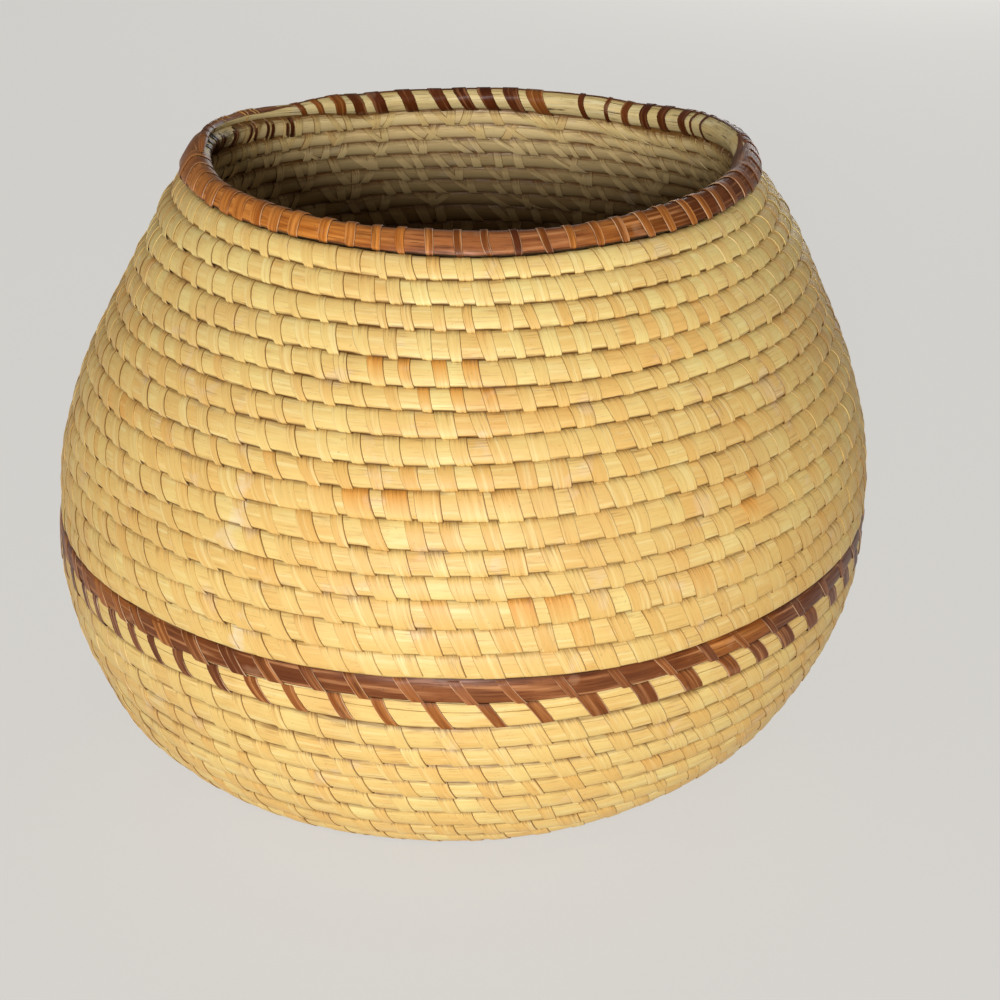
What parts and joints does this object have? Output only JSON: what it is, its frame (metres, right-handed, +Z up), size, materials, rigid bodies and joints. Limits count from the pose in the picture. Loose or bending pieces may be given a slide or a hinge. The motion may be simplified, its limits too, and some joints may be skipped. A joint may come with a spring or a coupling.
{
  "type": "coiled basket",
  "caption": "Round coiled basket: one leaf bundle wound in a spiral from a flat base, up a full belly and in to a narrower open mouth, with a dark rim and a dark band with ticks.",
  "frame": {"origin": "middle of the base, on the surface that the basket stands on", "axes": "+Z up through the mouth, the shortest extent; -Y towards the front of the picture, +X to its right"},
  "size_m": [0.3695, 0.3694, 0.2642],
  "materials": {
    "natural_leaf": "satin",
    "base_leaf": "matte",
    "foundation_bundle": "matte",
    "brown_leaf": "satin",
    "orange_brown_leaf": "satin"
  },
  "bodies": {
    "root": {"base_coil": "base_leaf", "belt_course": "foundation_bundle", "belt_leaf": "brown_leaf", "belt_stitches": "orange_brown_leaf", "lower_course_01": "natural_leaf", "lower_course_02": "natural_leaf", "lower_course_03": "natural_leaf", "lower_course_04": "natural_leaf", "lower_course_05": "natural_leaf", "lower_course_06": "natural_leaf", "lower_course_07": "natural_leaf", "lower_course_08": "natural_leaf", "lower_course_09": "natural_leaf", "lower_course_10": "natural_leaf", "rim_course": "foundation_bundle", "rim_leaf": "brown_leaf", "rim_stitches": "orange_brown_leaf", "rim_tail_lashing": "natural_leaf", "start_knot": "base_leaf", "tick_course": "foundation_bundle", "tick_leaf": "natural_leaf", "tick_stitches": "brown_leaf", "upper_course_01": "natural_leaf", "upper_course_02": "natural_leaf", "upper_course_03": "natural_leaf", "upper_course_04": "natural_leaf", "upper_course_05": "natural_leaf", "upper_course_06": "natural_leaf", "upper_course_07": "natural_leaf", "upper_course_08": "natural_leaf", "upper_course_09": "natural_leaf", "upper_course_10": "natural_leaf", "upper_course_11": "natural_leaf", "upper_course_12": "natural_leaf", "upper_course_13": "natural_leaf", "upper_course_14": "natural_leaf", "upper_course_15": "natural_leaf", "upper_course_16": "natural_leaf"}
  },
  "joints": []
}
